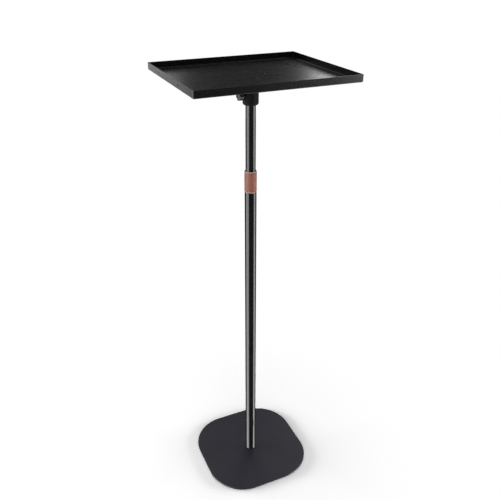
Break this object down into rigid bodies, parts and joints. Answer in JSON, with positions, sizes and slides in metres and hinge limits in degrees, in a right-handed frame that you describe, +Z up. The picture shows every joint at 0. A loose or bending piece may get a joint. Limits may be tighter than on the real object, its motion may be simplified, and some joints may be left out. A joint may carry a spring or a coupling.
{
  "type": "portable projector stand",
  "caption": "Free-standing floor stand with a shallow rimmed tray on a telescopic pole, a copper-coloured twist-lock collar, a lobed clamp knob and a heavy rounded-square base plate.",
  "frame": {"origin": "on the floor, under the pole's axis, at the middle of the base", "axes": "+Z up the pole; X along the tray's long side, with the clamp knob on the -X side; the tray's front long edge faces -Y"},
  "size_m": [0.39, 0.33, 1.173],
  "materials": {
    "base_coat": "fine-textured matte powder coat, dark grey",
    "tray_coat": "fine-textured satin powder coat, black",
    "tube_enamel": "gloss black enamel",
    "collar_copper": "satin copper-coloured anodising with bright bevels",
    "moulded_nylon": "moulded black nylon, fine grain",
    "knob_plastic": "moulded black plastic, satin",
    "pad_rubber": "matte black",
    "screw_steel": "zinc plated",
    "black_screw": "black oxide",
    "insert_brass": "plain turned"
  },
  "bodies": {
    "base": {"base_plate": "base_coat", "foot_pad_front_left": "pad_rubber", "foot_pad_front_right": "pad_rubber", "foot_pad_back_left": "pad_rubber", "foot_pad_back_right": "pad_rubber", "base_screw": "screw_steel", "pole_foot_plug": "screw_steel", "lower_tube": "tube_enamel", "lock_insert": "moulded_nylon"},
    "lock_collar": {"twist_collar": "collar_copper"},
    "mast": {"upper_tube": "tube_enamel", "mast_end_plug": "moulded_nylon"},
    "tray": {"tray_pan": "tray_coat", "tray_screw_right": "black_screw", "tray_screw_back": "black_screw", "tray_screw_left": "black_screw", "tray_screw_front": "black_screw", "pole_socket": "moulded_nylon", "clamp_insert": "insert_brass"},
    "clamp_stud": {"clamp_screw": "screw_steel"},
    "clamp_grip": {"clamp_knob": "knob_plastic"}
  },
  "joints": [
    {"name": "collar_twist", "type": "hinge", "parent": "base", "child": "lock_collar", "pos_m": [0, 0, 0.9], "axis": [0, 0, 1], "range_deg": [0, 90]},
    {"name": "mast_slide", "type": "slide", "parent": "base", "child": "mast", "axis": [0, 0, 1], "range_m": [-0.155, 0.33]},
    {"name": "tray_swivel", "type": "hinge", "parent": "mast", "child": "tray", "pos_m": [0, 0, 1.12], "axis": [0, 0, 1], "continuous": true},
    {"name": "clamp_travel", "type": "slide", "parent": "tray", "child": "clamp_stud", "axis": [-1, 0, 0], "range_m": [0, 0.0021]},
    {"name": "clamp_turn", "type": "hinge", "parent": "clamp_stud", "child": "clamp_grip", "pos_m": [-0.027, 0, 1.1155], "axis": [-1, 0, 0], "range_deg": [0, 720]}
  ],
  "couplings": [
    {"joint": "clamp_travel", "follows": "clamp_turn", "m_per_rad": 0.00015915}
  ]
}
